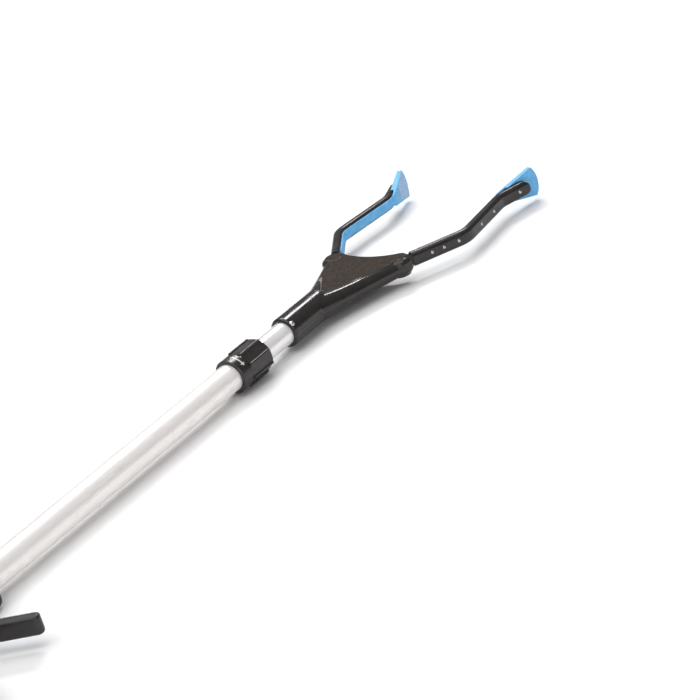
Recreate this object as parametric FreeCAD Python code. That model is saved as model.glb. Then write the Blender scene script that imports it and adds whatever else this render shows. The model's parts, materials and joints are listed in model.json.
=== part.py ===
import FreeCAD, Part
import math
import os

from FreeCAD import Vector

# Reacher grabber, lying on its side.  X runs along the pole towards the jaws,
# the jaws open sideways along Y, and Z is up.  All sizes are in millimetres.
# The design frame has x = 0 at the rear mouth of the head's socket and its
# X axis on the pole's axis; save_all() moves it to the stored frame.

# --- pole -------------------------------------------------------------------
OUTER_TUBE_R = 12.7
OUTER_TUBE_BORE = 11.45
INNER_TUBE_R = 11.1
INNER_TUBE_BORE = 9.7
OUTER_TUBE_REAR = -478.0
OUTER_TUBE_FRONT = -68.0
INNER_TUBE_REAR = -440.0
INNER_TUBE_FRONT = 58.0
KEYWAY_WIDTH = 2.4
KEYWAY_DEPTH = 0.8
RUNNING_GAP = 0.06
FIT_GAP = 0.05
CLEAR = 0.35

# --- twist lock ---------------------------------------------------------------
RING_REAR = -79.0
NUT_REAR = -66.0
NUT_FRONT = -36.0
RING_R = 16.1
SLEEVE_R = 13.9
SLEEVE_FRONT = -55.0
COLLET_FRONT = -40.5
NUT_FLAT_R = 15.1
NUT_RIB_R = 17.5
NUT_RIB_WIDTH = 2.6
NUT_SIDES = 8

# --- head ---------------------------------------------------------------------
SOCKET_R = 14.45
SOCKET_REAR = 2.0
SOCKET_LIP = 2.4
SOCKET_CYLINDER_FRONT = 57.0
SHOULDER_FRONT = 74.0
PANEL_Z = 7.0
CAVITY_Z = 5.0
EAR_DISC_R = 8.8
EAR_DISC_Z = 7.8
EAR_R = 12.6
EAR_BOTTOM = -9.4
PIVOT_X = 138.0
PIVOT_Y = 37.0
PIVOT_PIN_R = 2.5
FRONT_EDGE_X = 140.0
FLANK_STATIONS = [
    (44.0, 1.0, 0.0, 13.2), (58.0, 6.0, -0.8, 11.6), (76.0, 13.6, -1.2, 9.6), (100.0, 23.8, -1.4, 8.4),
    (134.0, 38.0, -1.6, 8.0),
]
RIVET_X = 5.0
RIVET_ANGLE = 50.0

# --- jaws ---------------------------------------------------------------------
ARM_HALF_HEIGHT = 7.2
ARM_HALF_WIDTH = 4.0
ARM_OUTER_SIDE = 4.8
ARM_LIP = 1.0
ARM_LEGS = [(69.5, 32.4), (74.5, -6.3), (33.5, 20.0)]
ARM_BEND_R = 22.0
ARM_ROUNDING = 4.4
ARM_EAR_GAP = 0.8
HUB_R = 8.5
HUB_HALF_HEIGHT = 4.65
LINER_THICKNESS = 1.8
LINER_HALF_HEIGHT = 4.5
PAD_THICKNESS = 3.6
PAD_WRAP_HEEL = 3.2
PAD_WRAP_TOE = 1.6
PAD_PAST_ARM = 10.5
PAD_BULGE = 4.0
PAD_HALF_HEIGHT = 14.5
STUD_R = 1.3
JAW_SWING = 23.4

# --- linkage --------------------------------------------------------------------
LEVER_ARM = 10.5
LEVER_LEAN = 6.0
LINK_PIN_R = 2.0
SLOT_GAP = 0.12
ROD_R = 1.5
ROD_REAR = -430.0
PULL_TUBE_R = 4.0
PULL_TUBE_BORE = 3.0
PULL_TUBE_REAR = -474.0
PULL_TUBE_FRONT = -116.0
CLUTCH_FRONT = -98.0
CLUTCH_R = 7.0

# --- handle and trigger -----------------------------------------------------------
HANDLE_FRONT = -414.0
BARREL_HALF = 18.5
GRIP_HALF = 15.5
WALL = 2.6
TRIGGER_X = -490.0
TRIGGER_SWING = 25.0
HANG_HOLE_X = -556.0
HANG_HOLE_Y = 3.0
HANG_HOLE_R = 4.0
TUBE_RIBS = [-434.0, -453.0, -472.0]
HANDLE_SCREWS = [(-424.0, 16.3), (-424.0, -16.3), (-522.0, 12.0), (-531.0, -38.0), (-548.0, -102.0)]
HEAD_SCREWS = [(76.0, 14.0), (76.0, -14.0), (104.0, 26.0), (104.0, -26.0)]

half_lever_swing = math.radians(JAW_SWING / 2)
lever_lean = math.radians(LEVER_LEAN)
pin_x_open = PIVOT_X - LEVER_ARM * math.tan(lever_lean - half_lever_swing)
pin_x_closed = PIVOT_X - LEVER_ARM * math.tan(lever_lean + half_lever_swing)
PULL_STROKE = pin_x_open - pin_x_closed
LINK_PIN_Y = PIVOT_Y - LEVER_ARM
half_trigger = math.radians(TRIGGER_SWING / 2)
TRIGGER_ARM = PULL_STROKE / (2 * math.sin(half_trigger))
TRIGGER_Y = TRIGGER_ARM * (1 + math.cos(half_trigger)) / 2
CLEVIS_PIN_X = TRIGGER_X + TRIGGER_ARM * math.sin(half_trigger)
CLEVIS_PIN_Y = TRIGGER_Y - TRIGGER_ARM * math.cos(half_trigger)

X_AXIS = Vector(1, 0, 0)
Y_AXIS = Vector(0, 1, 0)
Z_AXIS = Vector(0, 0, 1)
ORIGIN = Vector(0, 0, 0)


# --- small helpers ------------------------------------------------------------------
def rod_x(radius, x0, x1, y=0.0, z=0.0):
    return Part.makeCylinder(radius, x1 - x0, Vector(x0, y, z), X_AXIS)


def rod_z(radius, z0, z1, x, y):
    return Part.makeCylinder(radius, z1 - z0, Vector(x, y, z0), Z_AXIS)


def tube_x(radius, bore, x0, x1):
    return rod_x(radius, x0, x1).cut(rod_x(bore, x0 - 1, x1 + 1))


def cone_x(r0, r1, x0, x1):
    return Part.makeCone(r0, r1, x1 - x0, Vector(x0, 0, 0), X_AXIS)


def block(x0, x1, y0, y1, z0, z1):
    return Part.makeBox(x1 - x0, y1 - y0, z1 - z0, Vector(x0, y0, z0))


def fused(shapes):
    result = shapes[0]
    for shape in shapes[1:]:
        result = result.fuse(shape)
    return result.removeSplitter()


def mirrored(shape):
    return shape.mirror(ORIGIN, Y_AXIS)


def unit(x, y):
    length = math.hypot(x, y)
    return x / length, y / length


def rounded_outline(corners):
    """Closed wire of straight lines with an arc of the given radius at each corner (x, y, radius)."""
    arcs = []
    count = len(corners)
    for i, (x, y, radius) in enumerate(corners):
        before = corners[i - 1]
        after = corners[(i + 1) % count]
        ux, uy = unit(before[0] - x, before[1] - y)
        vx, vy = unit(after[0] - x, after[1] - y)
        half_angle = math.acos(max(-1.0, min(1.0, ux * vx + uy * vy))) / 2
        reach = radius / math.tan(half_angle)
        bx, by = unit(ux + vx, uy + vy)
        to_centre = radius / math.sin(half_angle)
        start = Vector(x + ux * reach, y + uy * reach, 0)
        end = Vector(x + vx * reach, y + vy * reach, 0)
        middle = Vector(x + bx * (to_centre - radius), y + by * (to_centre - radius), 0)
        arcs.append((start, middle, end))
    edges = []
    for i, (start, middle, end) in enumerate(arcs):
        edges.append(Part.Arc(start, middle, end).toShape())
        next_start = arcs[(i + 1) % count][0]
        if end.distanceToPoint(next_start) > 1e-6:
            edges.append(Part.LineSegment(end, next_start).toShape())
    return Part.Wire(edges)


def prism(wire, z0, z1):
    face = Part.Face(wire)
    face.translate(Vector(0, 0, z0))
    return face.extrude(Vector(0, 0, z1 - z0))


def polygon(points, z0, z1):
    corners = [Vector(x, y, 0) for x, y in points]
    return prism(Part.makePolygon(corners + corners[:1]), z0, z1)


def rounded_prism(corners, half, edge_radius):
    """Outline extruded both ways from z = 0 with its two rims rounded over."""
    solid = prism(rounded_outline(corners), -half, half)
    rims = []
    for edge in solid.Edges:
        box = edge.BoundBox
        if box.ZLength < 1e-6 and abs(abs(box.ZMin) - half) < 1e-6:
            rims.append(edge)
    return solid.makeFillet(edge_radius, rims)


def inset(corners, distance):
    """Same outline moved inwards by a distance, corner by corner."""
    result = []
    count = len(corners)
    area = sum(
        corners[i - 1][0] * corners[i][1] - corners[i][0] * corners[i - 1][1] for i in range(count)
    )
    side = 1.0 if area > 0 else -1.0
    for i, (x, y, radius) in enumerate(corners):
        before = corners[i - 1]
        after = corners[(i + 1) % count]
        ax, ay = unit(x - before[0], y - before[1])
        bx, by = unit(after[0] - x, after[1] - y)
        nx = -(ay + by) * side
        ny = (ax + bx) * side
        nx, ny = unit(nx, ny)
        cosine = nx * -ay * side + ny * ax * side
        turn = (ax * by - ay * bx) * side
        new_radius = radius - distance if turn > 0 else radius + distance
        result.append((x + nx * distance / cosine, y + ny * distance / cosine, max(new_radius, 0.6)))
    return result


def coil_x(radius, wire_r, x0, x1, turns):
    """Helical spring with its axis along X."""
    helix = Part.makeHelix((x1 - x0) / turns, x1 - x0, radius)
    section = Part.Wire([Part.Circle(Vector(radius, 0, 0), Y_AXIS, wire_r).toShape()])
    spring = Part.Wire(helix.Edges).makePipeShell([section], True, True)
    spring.rotate(ORIGIN, Y_AXIS, 90)
    spring.translate(Vector(x0, 0, 0))
    return spring


# --- pole and twist lock ------------------------------------------------------------
def make_outer_tube():
    return tube_x(OUTER_TUBE_R, OUTER_TUBE_BORE, OUTER_TUBE_REAR, OUTER_TUBE_FRONT)


def keyway(x0, x1, extra=0.0):
    half = KEYWAY_WIDTH / 2 + extra
    return block(x0, x1, -half, half, INNER_TUBE_R - KEYWAY_DEPTH, INNER_TUBE_R + 1)


def make_inner_tube():
    tube = tube_x(INNER_TUBE_R, INNER_TUBE_BORE, INNER_TUBE_REAR, INNER_TUBE_FRONT)
    return tube.cut(keyway(INNER_TUBE_REAR - 1, INNER_TUBE_FRONT + 1))


def make_lock_base():
    """Ring fixed on the outer tube, with a threaded sleeve that the twist nut turns on."""
    ring = rod_x(RING_R, RING_REAR, NUT_REAR - 0.3)
    rims = [edge for edge in ring.Edges if edge.BoundBox.XLength < 1e-6]
    ring = ring.makeChamfer(0.8, rims)
    sleeve = rod_x(SLEEVE_R - 0.5, NUT_REAR - 0.3, SLEEVE_FRONT)
    threads = []
    for i in range(4):
        x = NUT_REAR + 1.2 + i * 2.6
        threads.append(rod_x(SLEEVE_R, x, x + 1.3))
    body = fused([ring, sleeve] + threads)
    body = body.cut(rod_x(OUTER_TUBE_R + FIT_GAP, RING_REAR - 1, OUTER_TUBE_FRONT))
    body = body.cut(rod_x(INNER_TUBE_R + 0.2, OUTER_TUBE_FRONT - 1, SLEEVE_FRONT + 1))
    key_seat = block(-63, -57, -1.5, 1.5, INNER_TUBE_R - 0.5, INNER_TUBE_R + 1.6)
    return body.cut(key_seat)


def make_guide_key():
    """Small key in the lock base that rides in the inner tube's keyway."""
    half = KEYWAY_WIDTH / 2 - RUNNING_GAP
    tongue = block(-62.8, -57.2, -half, half, INNER_TUBE_R - KEYWAY_DEPTH + 0.1, INNER_TUBE_R + 0.8)
    head = block(-62.9, -57.1, -1.4, 1.4, INNER_TUBE_R + 0.3, INNER_TUBE_R + 1.5)
    return fused([tongue, head])


def make_split_collet():
    """Tapered ring of spring fingers that the nut squeezes onto the inner tube."""
    rear_x = SLEEVE_FRONT + 0.2
    collar = rod_x(13.2, rear_x, rear_x + 4)
    taper = cone_x(13.2, 12.0, rear_x + 4, COLLET_FRONT)
    body = fused([collar, taper]).cut(rod_x(INNER_TUBE_R + RUNNING_GAP, rear_x - 1, COLLET_FRONT + 1))
    for i in range(6):
        slot = block(rear_x + 3, COLLET_FRONT + 1, -0.5, 0.5, 10, 15)
        slot.rotate(ORIGIN, X_AXIS, 30 + i * 60)
        body = body.cut(slot)
    return body


def make_twist_nut():
    """Eight-sided hand nut with a rounded rib on every corner."""
    points = []
    corner_r = NUT_FLAT_R / math.cos(math.pi / NUT_SIDES)
    for i in range(NUT_SIDES):
        angle = 2 * math.pi * (i + 0.5) / NUT_SIDES
        points.append(Vector(NUT_REAR, corner_r * math.cos(angle), corner_r * math.sin(angle)))
    body = Part.Face(Part.makePolygon(points + points[:1])).extrude(Vector(NUT_FRONT - NUT_REAR, 0, 0))
    envelope = rod_x(corner_r + 0.2, NUT_REAR, NUT_FRONT)
    front_rim = [edge for edge in envelope.Edges if edge.BoundBox.XMin > NUT_FRONT - 0.01]
    rear_rim = [edge for edge in envelope.Edges if edge.BoundBox.XMax < NUT_REAR + 0.01]
    envelope = envelope.makeFillet(2.4, front_rim).makeFillet(0.9, rear_rim)
    body = body.common(envelope)
    ribs = []
    for i in range(NUT_SIDES):
        rib = rod_x(NUT_RIB_WIDTH / 2, NUT_REAR + 0.6, NUT_FRONT - 1.4, 0, NUT_RIB_R - NUT_RIB_WIDTH / 2)
        ends = [edge for edge in rib.Edges if edge.BoundBox.XLength < 1e-6]
        rib = rib.makeFillet(0.9, ends)
        web = block(NUT_REAR + 1.6, NUT_FRONT - 2.6, -1.1, 1.1, corner_r - 2, NUT_RIB_R - 1.2)
        rib = fused([rib, web])
        rib.rotate(ORIGIN, X_AXIS, 360.0 * (i + 0.5) / NUT_SIDES)
        ribs.append(rib)
    body = fused([body] + ribs)
    bore = rod_x(SLEEVE_R + 0.1, NUT_REAR - 1, -50.6)
    throat = cone_x(SLEEVE_R + 0.1, 12.35, -50.6, -40.2)
    mouth = rod_x(INNER_TUBE_R + CLEAR, -41, NUT_FRONT + 1)
    return body.cut(fused([bore, throat])).cut(mouth)


def make_tube_end_bush():
    """Bush on the inner tube's rear end that centres it in the outer tube and lets the pull tube pass."""
    flange = rod_x(OUTER_TUBE_BORE - RUNNING_GAP, INNER_TUBE_REAR - 3, INNER_TUBE_REAR)
    spigot = rod_x(INNER_TUBE_BORE - FIT_GAP, INNER_TUBE_REAR, INNER_TUBE_REAR + 12)
    bore = rod_x(PULL_TUBE_R + CLEAR, INNER_TUBE_REAR - 4, INNER_TUBE_REAR + 13)
    return fused([flange, spigot]).cut(bore)


# --- head -----------------------------------------------------------------------------
def flank():
    """Round flank that leaves the socket and runs out to the ear, on the +Y side."""
    sections = []
    for i, (x, y, z, radius) in enumerate(FLANK_STATIONS):
        x0, y0 = FLANK_STATIONS[max(i - 1, 0)][:2]
        x1, y1 = FLANK_STATIONS[min(i + 1, len(FLANK_STATIONS) - 1)][:2]
        section = Part.Wire([Part.Circle(ORIGIN, X_AXIS, radius).toShape()])
        section.rotate(ORIGIN, Z_AXIS, math.degrees(math.atan2(y1 - y0, x1 - x0)))
        section.translate(Vector(x, y, z))
        sections.append(section)
    return Part.makeLoft(sections, True, False)


def yoke_plan():
    """Outline of the flat part of the yoke, with its concave front edge between the ears."""
    side = [(62.0, 9.0), (72.0, 13.6), (100.0, 26.0), (131.0, 40.0), (PIVOT_X, PIVOT_Y + 4.0)]
    front_y = PIVOT_Y - 3.0
    front_x = PIVOT_X + 9.5
    points = [Vector(x, y, 0) for x, y in side]
    points.append(Vector(front_x, front_y, 0))
    edges = [Part.LineSegment(a, b).toShape() for a, b in zip(points, points[1:])]
    mirror = [Vector(p.x, -p.y, 0) for p in points]
    arc = Part.Arc(points[-1], Vector(FRONT_EDGE_X, 0, 0), mirror[-1])
    edges.append(arc.toShape())
    for a, b in zip(mirror[::-1], mirror[-2::-1]):
        edges.append(Part.LineSegment(a, b).toShape())
    edges.append(Part.LineSegment(mirror[0], points[0]).toShape())
    return Part.Wire(edges)


def ear():
    """Round-edged ear with a raised boss on both faces."""
    puck = rod_z(EAR_R, EAR_BOTTOM, PANEL_Z, PIVOT_X, PIVOT_Y)
    top_rim = [edge for edge in puck.Edges if edge.BoundBox.ZMin > PANEL_Z - 0.01]
    bottom_rim = [edge for edge in puck.Edges if edge.BoundBox.ZMax < EAR_BOTTOM + 0.01]
    puck = puck.makeFillet(5.0, top_rim).makeFillet(7.0, bottom_rim)
    boss = rod_z(EAR_DISC_R, EAR_BOTTOM - 0.8, EAR_DISC_Z, PIVOT_X, PIVOT_Y)
    rims = [edge for edge in boss.Edges if edge.BoundBox.ZLength < 1e-6]
    boss = boss.makeFillet(0.8, rims)
    return fused([puck, boss])


def jaw_sweep_space():
    """Room in one ear's fork for the jaw's hub and for the arm through its whole swing."""
    reach = 40.0
    spread = 7.5
    outer = math.radians(ARM_LEGS[0][1])
    inner = math.radians(ARM_LEGS[0][1] - JAW_SWING)
    far_out = (
        PIVOT_X + reach * math.cos(outer) - spread * math.sin(outer),
        PIVOT_Y + reach * math.sin(outer) + spread * math.cos(outer),
    )
    near_out = (PIVOT_X - spread * math.sin(outer), PIVOT_Y + spread * math.cos(outer))
    far_in = (
        PIVOT_X + reach * math.cos(inner) + spread * math.sin(inner),
        PIVOT_Y + reach * math.sin(inner) - spread * math.cos(inner),
    )
    near_in = (PIVOT_X + spread * math.sin(inner), PIVOT_Y - spread * math.cos(inner))
    wedge = polygon([near_out, far_out, far_in, near_in], -CAVITY_Z, CAVITY_Z)
    hub_room = rod_z(HUB_R + 1.0, -CAVITY_Z, CAVITY_Z, PIVOT_X, PIVOT_Y)
    lever_room = rod_z(LEVER_ARM + 4.6, -CAVITY_Z, CAVITY_Z, PIVOT_X, PIVOT_Y)
    inside = block(PIVOT_X - 30, PIVOT_X + 6.8, PIVOT_Y - 30, PIVOT_Y, -CAVITY_Z, CAVITY_Z)
    return fused([wedge, hub_room, lever_room.common(inside)])


def linkage_space():
    """Cavity between the shells for the crosshead, its spring and both jaw levers."""
    rear = rod_x(CAVITY_Z, 55, 100)
    outline = [
        (84.0, 8.0, 2.0), (124.0, 30.0, 4.0), (143.4, 28.0, 1.5), (138.2, 0.0, 60.0),
        (143.4, -28.0, 1.5), (124.0, -30.0, 4.0), (84.0, -8.0, 2.0),
    ]
    pocket = prism(rounded_outline(outline), -CAVITY_Z, CAVITY_Z)
    return fused([rear, pocket])


def head_solid():
    """Whole outside of the head, bored for the pole and hollowed for the linkage."""
    socket = rod_x(SOCKET_R, SOCKET_REAR, SOCKET_CYLINDER_FRONT)
    mouth_rim = [edge for edge in socket.Edges if edge.BoundBox.XMax < SOCKET_REAR + 0.01]
    socket = socket.makeFillet(SOCKET_LIP, mouth_rim)
    shoulder = cone_x(SOCKET_R, PANEL_Z, SOCKET_CYLINDER_FRONT, SHOULDER_FRONT)
    plate = prism(yoke_plan(), -PANEL_Z, PANEL_Z)
    pieces = [socket, shoulder, plate, flank(), mirrored(flank()), ear(), mirrored(ear())]
    body = fused(pieces)
    body = body.cut(rod_x(INNER_TUBE_R + FIT_GAP, -1, INNER_TUBE_FRONT + 3.2))
    body = body.cut(jaw_sweep_space()).cut(mirrored(jaw_sweep_space())).cut(linkage_space())
    for side in (1, -1):
        body = body.cut(rod_z(PIVOT_PIN_R, -6.6, 6.6, PIVOT_X, side * PIVOT_Y))
    for x, y in HEAD_SCREWS:
        body = body.cut(rod_z(1.3, -PANEL_Z - 3, PANEL_Z - 1.6, x, y))
        body = body.cut(rod_z(2.8, -PANEL_Z - 3, -PANEL_Z + 2.2, x, y))
    for angle in (RIVET_ANGLE, RIVET_ANGLE + 180):
        body = body.cut(radial_rod(1.6, INNER_TUBE_BORE - 1, SOCKET_R + 2, RIVET_X, angle))
    return body


def radial_rod(radius, r0, r1, x, angle):
    """Cylinder standing out from the pole's axis, angle degrees from +Z towards -Y."""
    rod = rod_z(radius, r0, r1, x, 0)
    rod.rotate(ORIGIN, X_AXIS, angle)
    return rod


def make_head_shells():
    body = head_solid()
    upper = body.common(block(-10, 200, -80, 80, 0, 40))
    lower = body.common(block(-10, 200, -80, 80, -40, 0))
    return upper, lower


def make_head_rivets():
    """Pair of round-headed rivets that hold the socket on the inner tube."""
    rivets = []
    for angle in (RIVET_ANGLE, RIVET_ANGLE + 180):
        shank = radial_rod(1.55, SOCKET_R - 2, SOCKET_R + 0.2, RIVET_X, angle)
        dome = Part.makeSphere(2.9, Vector(RIVET_X, 0, SOCKET_R - 1.4))
        dome.rotate(ORIGIN, X_AXIS, angle)
        dome = dome.cut(rod_x(SOCKET_R + 0.02, RIVET_X - 6, RIVET_X + 6))
        rivets.append(fused([shank, dome]))
    return Part.makeCompound(rivets)


def make_head_screws():
    screws = []
    for x, y in HEAD_SCREWS:
        head = rod_z(2.7, -PANEL_Z + 0.4, -PANEL_Z + 2.1, x, y)
        shank = rod_z(1.25, -PANEL_Z + 2.0, PANEL_Z - 2.0, x, y)
        cross = fused([
            block(x - 1.6, x + 1.6, y - 0.3, y + 0.3, -PANEL_Z, -PANEL_Z + 1.2),
            block(x - 0.3, x + 0.3, y - 1.6, y + 1.6, -PANEL_Z, -PANEL_Z + 1.2),
        ])
        screws.append(fused([head, shank]).cut(cross))
    return Part.makeCompound(screws)


def make_rod_guide():
    """Plug in the pole's front end that guides the pull rod and seats the return spring."""
    flange = rod_x(INNER_TUBE_R, INNER_TUBE_FRONT, INNER_TUBE_FRONT + 3)
    spigot = rod_x(INNER_TUBE_BORE - FIT_GAP, INNER_TUBE_FRONT - 12, INNER_TUBE_FRONT)
    bore = rod_x(ROD_R + RUNNING_GAP, INNER_TUBE_FRONT - 13, INNER_TUBE_FRONT + 4)
    return fused([flange, spigot]).cut(bore)


def make_pivot_pin():
    return rod_z(PIVOT_PIN_R, -6.5, 6.5, PIVOT_X, PIVOT_Y)


# --- jaws -------------------------------------------------------------------------------
def jaw_points():
    """Centre line of the jaw arm from its pivot, leg by leg."""
    x, y = PIVOT_X, PIVOT_Y
    points = [(x, y)]
    for length, angle in ARM_LEGS:
        x += length * math.cos(math.radians(angle))
        y += length * math.sin(math.radians(angle))
        points.append((x, y))
    return points


def offset_line(offset, start=0.0, extra=0.0):
    """Jaw centre line moved outwards by offset, lengthened at its end by extra."""
    points = jaw_points()
    angles = [math.radians(angle) for _, angle in ARM_LEGS]
    last = angles[-1]
    points[-1] = (points[-1][0] + extra * math.cos(last), points[-1][1] + extra * math.sin(last))
    first = angles[0]
    points[0] = (points[0][0] + start * math.cos(first), points[0][1] + start * math.sin(first))
    moved = []
    for i, (x, y) in enumerate(points):
        before = angles[max(i - 1, 0)]
        after = angles[min(i, len(angles) - 1)]
        middle = (before + after) / 2
        reach = offset / math.cos((after - before) / 2)
        moved.append((x - reach * math.sin(middle), y + reach * math.cos(middle)))
    return moved


def jaw_strip(inner, outer, start, extra, half):
    """Slab that follows the jaw between two offsets from its centre line."""
    inside = offset_line(inner, start, extra)
    outside = offset_line(outer, start, extra)
    corners = []
    for i, (x, y) in enumerate(outside):
        bend = {1: ARM_BEND_R + outer, 2: ARM_BEND_R - outer}.get(i, 0.4)
        corners.append((x, y, bend))
    for i, (x, y) in reversed(list(enumerate(inside))):
        bend = {1: ARM_BEND_R + inner, 2: ARM_BEND_R - inner}.get(i, 0.4)
        corners.append((x, y, bend))
    return prism(rounded_outline(corners), -half, half)


def in_tip_frame(shape):
    """Moves a shape from a local frame (x along the tip leg, origin at the arm's end) into place."""
    x, y = jaw_points()[-1]
    shape.rotate(ORIGIN, Z_AXIS, ARM_LEGS[-1][1])
    shape.translate(Vector(x, y, 0))
    return shape


def lever_point(radius, side=0.0):
    """Point on the jaw's inner lever at rest, radius from the pivot and side along the lever's width."""
    lean = lever_lean - half_lever_swing
    x = PIVOT_X - radius * math.sin(lean) + side * math.cos(lean)
    y = PIVOT_Y - radius * math.cos(lean) - side * math.sin(lean)
    return x, y


def lever_plate(r0, r1, half_width, z0, z1):
    corners = [(r0, -half_width), (r1, -half_width), (r1, half_width), (r0, half_width)]
    return polygon([lever_point(radius, side) for radius, side in corners], z0, z1)


def past_the_nose():
    """Everything beyond the arm's rounded end."""
    nose = rod_z(ARM_HALF_HEIGHT, -20, 20, 0, 0)
    nose.rotate(ORIGIN, X_AXIS, 90)
    nose.translate(Vector(-ARM_HALF_HEIGHT, 0, 0))
    zone = block(-ARM_HALF_HEIGHT, 10, -20, 20, -20, 20)
    return in_tip_frame(zone.cut(nose))


def make_jaw_arm():
    """Arm with its round hub and the forked inner lever that the crosshead pin drives."""
    arm = jaw_strip(-ARM_HALF_WIDTH - ARM_LIP, ARM_OUTER_SIDE, 0.0, 0.0, ARM_HALF_HEIGHT)
    rims = []
    outer = offset_line(ARM_OUTER_SIDE)
    for edge in arm.Edges:
        box = edge.BoundBox
        flat = box.ZLength < 1e-6 and abs(abs(box.ZMin) - ARM_HALF_HEIGHT) < 1e-6
        if flat and edge.Length > 3 and is_outer_edge(edge, outer):
            rims.append(edge)
    arm = arm.makeFillet(ARM_ROUNDING, rims)
    arm = arm.cut(past_the_nose())
    arm = arm.cut(rod_z(EAR_R + ARM_EAR_GAP, -20, 20, PIVOT_X, PIVOT_Y))
    channel = jaw_strip(-ARM_HALF_WIDTH - 3, -ARM_HALF_WIDTH + 0.8, 18.0, 20.0, LINER_HALF_HEIGHT + 0.02)
    arm = arm.cut(channel)
    root = jaw_strip(-ARM_HALF_WIDTH, ARM_HALF_WIDTH, 0.0, 0.0, HUB_HALF_HEIGHT)
    root = root.common(rod_z(16.5, -6, 6, PIVOT_X, PIVOT_Y))
    hub = rod_z(HUB_R, -HUB_HALF_HEIGHT, HUB_HALF_HEIGHT, PIVOT_X, PIVOT_Y)
    lever = lever_plate(0.0, LEVER_ARM + 2.9, 4.1, -HUB_HALF_HEIGHT, HUB_HALF_HEIGHT)
    body = fused([arm, root, hub, lever])
    body = body.cut(lever_plate(LEVER_ARM - 3.9, LEVER_ARM + 6, 8.0, -2.0, 2.0))
    slot = lever_plate(LEVER_ARM, LEVER_ARM + 6, LINK_PIN_R + SLOT_GAP, -10, 10)
    x, y = lever_point(LEVER_ARM - 0.3)
    slot = fused([slot, rod_z(LINK_PIN_R + SLOT_GAP, -10, 10, x, y)])
    body = body.cut(slot).cut(rod_z(PIVOT_PIN_R + RUNNING_GAP, -10, 10, PIVOT_X, PIVOT_Y))
    for x, y, angle in stud_places():
        body = body.cut(stud_rod(STUD_R, 12.0, x, y, angle))
    return body


def is_outer_edge(edge, line):
    """True for an edge that lies along the arm's outer side."""
    middle = edge.valueAt((edge.FirstParameter + edge.LastParameter) / 2)
    nearest = min(
        Part.LineSegment(Vector(*a, 0), Vector(*b, 0)).toShape().distToShape(
            Part.Vertex(middle.x, middle.y, 0))[0]
        for a, b in zip(line, line[1:])
    )
    return nearest < 2.6


def stud_places():
    """Six places along the jaw where a stud ties the liner through the arm."""
    points = jaw_points()
    places = []
    for leg, share in ((0, 0.46), (0, 0.64), (0, 0.86), (1, 0.32), (1, 0.68), (2, 0.62)):
        a, b = points[leg], points[leg + 1]
        x = a[0] + (b[0] - a[0]) * share
        y = a[1] + (b[1] - a[1]) * share
        places.append((x, y, ARM_LEGS[leg][1]))
    return places


def stud_rod(radius, length, x, y, angle, shift=0.0):
    """Short cross rod through the arm, square to its leg."""
    rod = Part.makeCylinder(radius, length, Vector(0, shift - length / 2, 0), Y_AXIS)
    rod.rotate(ORIGIN, Z_AXIS, angle)
    rod.translate(Vector(x, y, 0))
    return rod


def make_liner_studs():
    """Round-headed studs, each through the arm from the liner to the outer face."""
    studs = []
    inner_end = -ARM_HALF_WIDTH + 0.85
    outer_end = ARM_OUTER_SIDE + 0.1
    for x, y, angle in stud_places():
        middle = (inner_end + outer_end) / 2
        shank = stud_rod(STUD_R - 0.03, outer_end - inner_end, x, y, angle, middle)
        head = Part.makeSphere(1.8, Vector(0, ARM_OUTER_SIDE - 0.8, 0))
        head = head.cut(block(-5, 5, -10, ARM_OUTER_SIDE + 0.02, -5, 5))
        head.rotate(ORIGIN, Z_AXIS, angle)
        head.translate(Vector(x, y, 0))
        studs.append(fused([shank, head]))
    return Part.makeCompound(studs)


def stood_up(solid, back):
    """Turns a prism so that its height runs towards -Y from y = back."""
    solid.rotate(ORIGIN, X_AXIS, 90)
    solid.translate(Vector(0, back, 0))
    return solid


def pad_fan(depth):
    """Fan with a bowed end, its front rim rounded over."""
    heel_x = 1.0 - ARM_LEGS[-1][0]
    heel_half = LINER_HALF_HEIGHT + 0.8
    fan = rounded_outline([
        (heel_x, -heel_half, 1.0), (PAD_PAST_ARM, -PAD_HALF_HEIGHT, 1.2),
        (PAD_PAST_ARM + 2 * PAD_BULGE, 0.0, 24.0),
        (PAD_PAST_ARM, PAD_HALF_HEIGHT, 1.2), (heel_x, heel_half, 1.0),
    ])
    solid = prism(fan, 0, depth)
    rim = [edge for edge in solid.Edges if edge.BoundBox.ZMin > depth - 0.01]
    return solid.makeFillet(0.8, rim)


def make_jaw_liner():
    """Soft strip along the arm's inner face that opens into a fan-shaped pad at the tip."""
    inner_face = -ARM_HALF_WIDTH
    strip = jaw_strip(inner_face - LINER_THICKNESS, inner_face + 0.78, 20.0, -2.0, LINER_HALF_HEIGHT)
    back = inner_face + PAD_WRAP_HEEL
    pad = stood_up(pad_fan(PAD_THICKNESS + PAD_WRAP_HEEL), back)
    heel_x = -ARM_LEGS[-1][0]
    toe_x = PAD_PAST_ARM + PAD_BULGE + 1
    toe_back = inner_face + PAD_WRAP_TOE
    wedge = [(heel_x, back), (toe_x, toe_back), (toe_x, back + 1), (heel_x, back + 1)]
    half = ARM_HALF_HEIGHT + 0.02
    bed = block(heel_x - 20, -half, inner_face - ARM_LIP, 20, -half, half)
    nose = stood_up(rod_z(half, 0, 20, -half, 0), inner_face - ARM_LIP + 20)
    pad = pad.cut(polygon(wedge, -20, 20)).cut(bed).cut(nose)
    return fused([strip, in_tip_frame(pad)])


# --- pull linkage ------------------------------------------------------------------------
def make_pull_rod():
    return rod_x(ROD_R, ROD_REAR, 108.0)


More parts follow.
